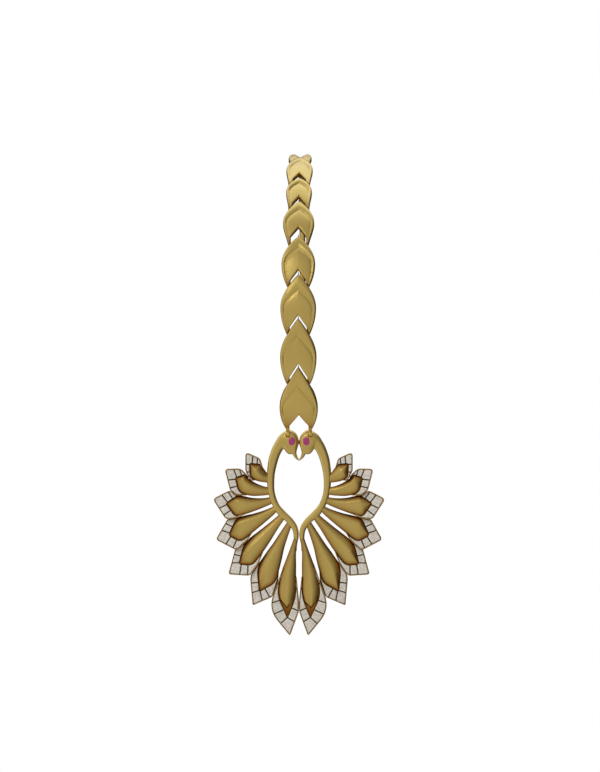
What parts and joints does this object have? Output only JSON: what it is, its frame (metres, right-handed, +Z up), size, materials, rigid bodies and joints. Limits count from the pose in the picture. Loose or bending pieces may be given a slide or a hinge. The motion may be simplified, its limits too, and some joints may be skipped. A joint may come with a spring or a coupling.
{
  "type": "ear climber with pendant",
  "caption": "Ear climber: a curved strap of hinged leaf links that hooks over the ear, with a swinging pendant of facing birds whose feathers end in bands of white stones.",
  "frame": {"origin": "inner face of the strap at its top, where it rests on the top edge of the ear", "axes": "+Z up, -Y towards the side that shows the leaves and feathers, +X to the right of someone who looks at that side"},
  "size_m": [0.0358, 0.0678, 0.102],
  "materials": {
    "gold": "satin cast yellow gold, polished on its edges",
    "white_stone": "square-cut white stones, bright and nearly opaque",
    "ruby": "oval domed ruby-red stone, glossy"
  },
  "bodies": {
    "strap": {"leaf_link_1": "gold", "leaf_link_2": "gold", "leaf_link_3": "gold", "leaf_link_4": "gold", "leaf_link_5": "gold", "leaf_link_6": "gold", "leaf_link_7": "gold", "leaf_link_8": "gold", "link_pin_1": "gold", "link_pin_2": "gold", "link_pin_3": "gold", "link_pin_4": "gold", "link_pin_5": "gold", "link_pin_6": "gold", "link_pin_7": "gold", "link_pin_8": "gold", "ear_hook": "gold"},
    "pendant": {"pendant_frame": "gold", "left_eye": "ruby", "left_pendant_pin": "gold", "left_stones_1": "white_stone", "left_stones_2": "white_stone", "left_stones_3": "white_stone", "left_stones_4": "white_stone", "left_stones_5": "white_stone", "left_stones_6": "white_stone", "left_stones_7": "white_stone", "right_eye": "ruby", "right_pendant_pin": "gold", "right_stones_1": "white_stone", "right_stones_2": "white_stone", "right_stones_3": "white_stone", "right_stones_4": "white_stone", "right_stones_5": "white_stone", "right_stones_6": "white_stone", "right_stones_7": "white_stone"}
  },
  "joints": [
    {"name": "pendant_swing", "type": "hinge", "parent": "strap", "child": "pendant", "pos_m": [0, -0.0222, -0.05778], "axis": [1, 0, 0], "range_deg": [-60, 60]}
  ]
}
